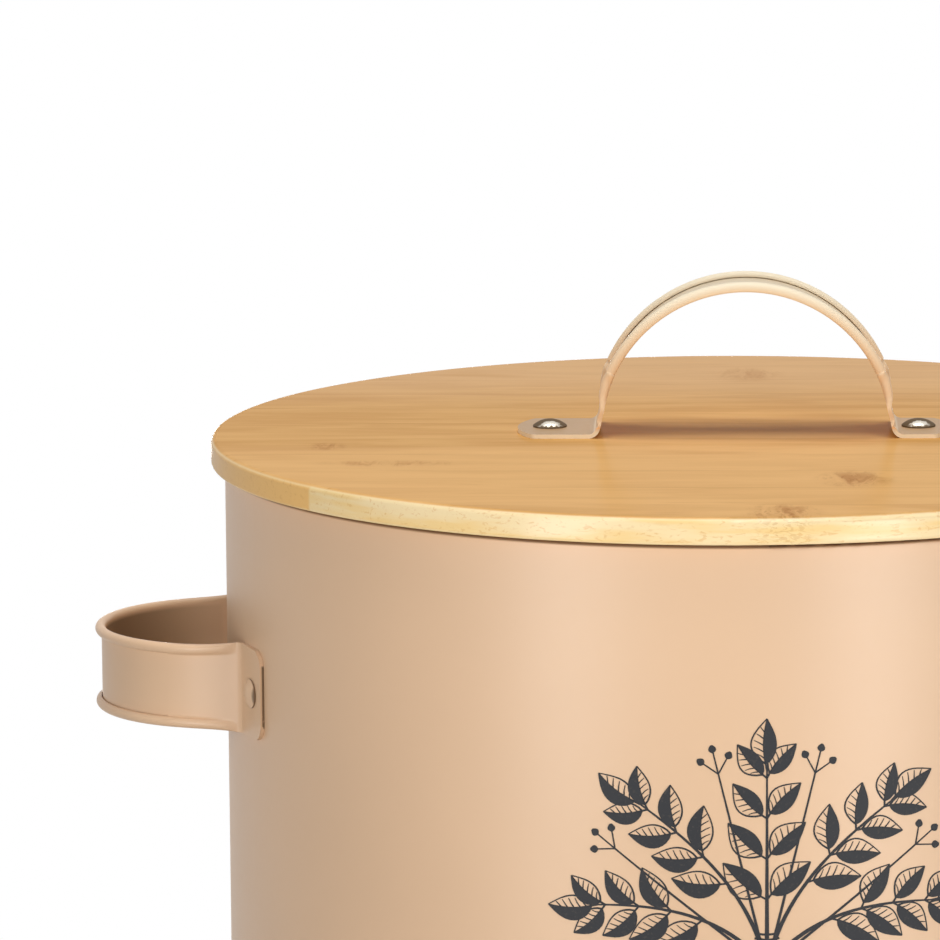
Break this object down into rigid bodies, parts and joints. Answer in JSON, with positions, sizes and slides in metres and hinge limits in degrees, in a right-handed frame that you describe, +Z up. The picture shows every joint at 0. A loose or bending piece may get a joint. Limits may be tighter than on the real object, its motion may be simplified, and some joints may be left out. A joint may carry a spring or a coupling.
{
  "type": "potato storage bin",
  "caption": "Round sheet-steel potato bin with a lift-off bamboo lid, riveted strap handles with rolled edges, a crimped base and rear air holes.",
  "frame": {"origin": "middle of the bin's footprint, on the floor it stands on", "axes": "+Z up, -Y the front with the printed motif, side handles on -X and +X"},
  "size_m": [0.3072, 0.25, 0.2291],
  "materials": {
    "powder_coat": "matte beige powder coat",
    "painted_rivet": "matte beige, painted over with the body",
    "bamboo": "satin-varnished bamboo strips",
    "nickel": "bright nickel plate",
    "zinc_washer": "dull zinc plate"
  },
  "bodies": {
    "bin": {"body_wall": "powder_coat", "base_pan": "powder_coat", "side_handle_left": "powder_coat", "side_handle_right": "powder_coat", "side_handle_rivets": "painted_rivet"},
    "lid": {"lid_board": "bamboo", "lid_locating_disc": "bamboo", "lid_handle": "powder_coat", "lid_handle_rivets": "nickel", "lid_rivet_washers": "zinc_washer"}
  },
  "joints": [
    {"name": "lid_lift", "type": "slide", "parent": "bin", "child": "lid", "axis": [0, 0, 1], "range_m": [0, 0.15]}
  ]
}
